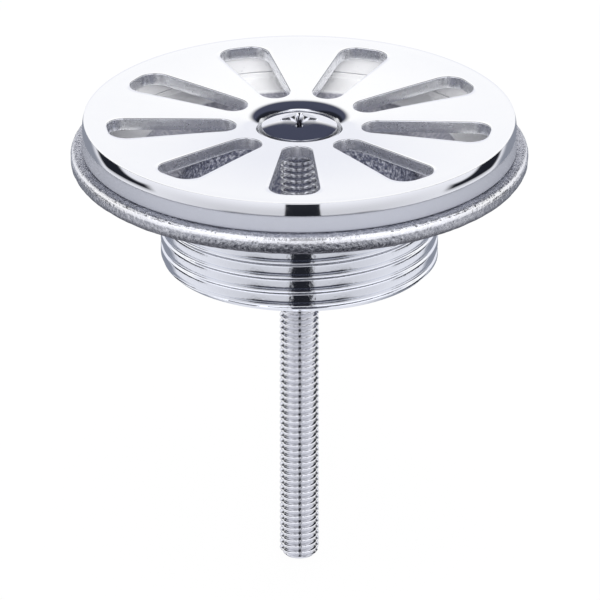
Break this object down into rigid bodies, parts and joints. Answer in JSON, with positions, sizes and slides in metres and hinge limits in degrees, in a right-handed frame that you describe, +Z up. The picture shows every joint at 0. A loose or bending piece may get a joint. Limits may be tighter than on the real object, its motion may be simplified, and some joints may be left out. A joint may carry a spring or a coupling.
{
  "type": "free-flow basin waste",
  "caption": "Round slotted grid on a seal ring, drawn down by a long cross-head screw onto a cast cup with a short threaded outlet stub.",
  "frame": {"origin": "on the axis, level with the cup's top face, which clamps against the underside of a basin", "axes": "+Z up along the waste's axis, out of the basin; -Y towards the slot at the front of the picture"},
  "size_m": [0.0688, 0.0688, 0.0724],
  "materials": {
    "cast_chrome": "satin",
    "pale_seal": "satin",
    "polished_chrome": "polished",
    "bright_steel": "polished"
  },
  "bodies": {
    "cup": {"waste_cup": "cast_chrome"},
    "seal": {"seal_ring": "pale_seal"},
    "grid": {"grid_plate": "polished_chrome"},
    "screw": {"centre_screw": "bright_steel"}
  },
  "joints": [
    {"name": "grid_lift", "type": "slide", "parent": "cup", "child": "seal", "axis": [0, 0, 1], "range_m": [0, 0.05]},
    {"name": "grid_turn", "type": "hinge", "parent": "seal", "child": "grid", "pos_m": [0, 0, 0.0035], "axis": [0, 0, 1], "continuous": true},
    {"name": "screw_turn", "type": "hinge", "parent": "seal", "child": "screw", "pos_m": [0, 0, 0.0034], "axis": [0, 0, 1], "range_deg": [0, 18000]}
  ],
  "couplings": [
    {"joint": "screw_turn", "follows": "grid_lift", "rad_per_m": 6283.2}
  ]
}
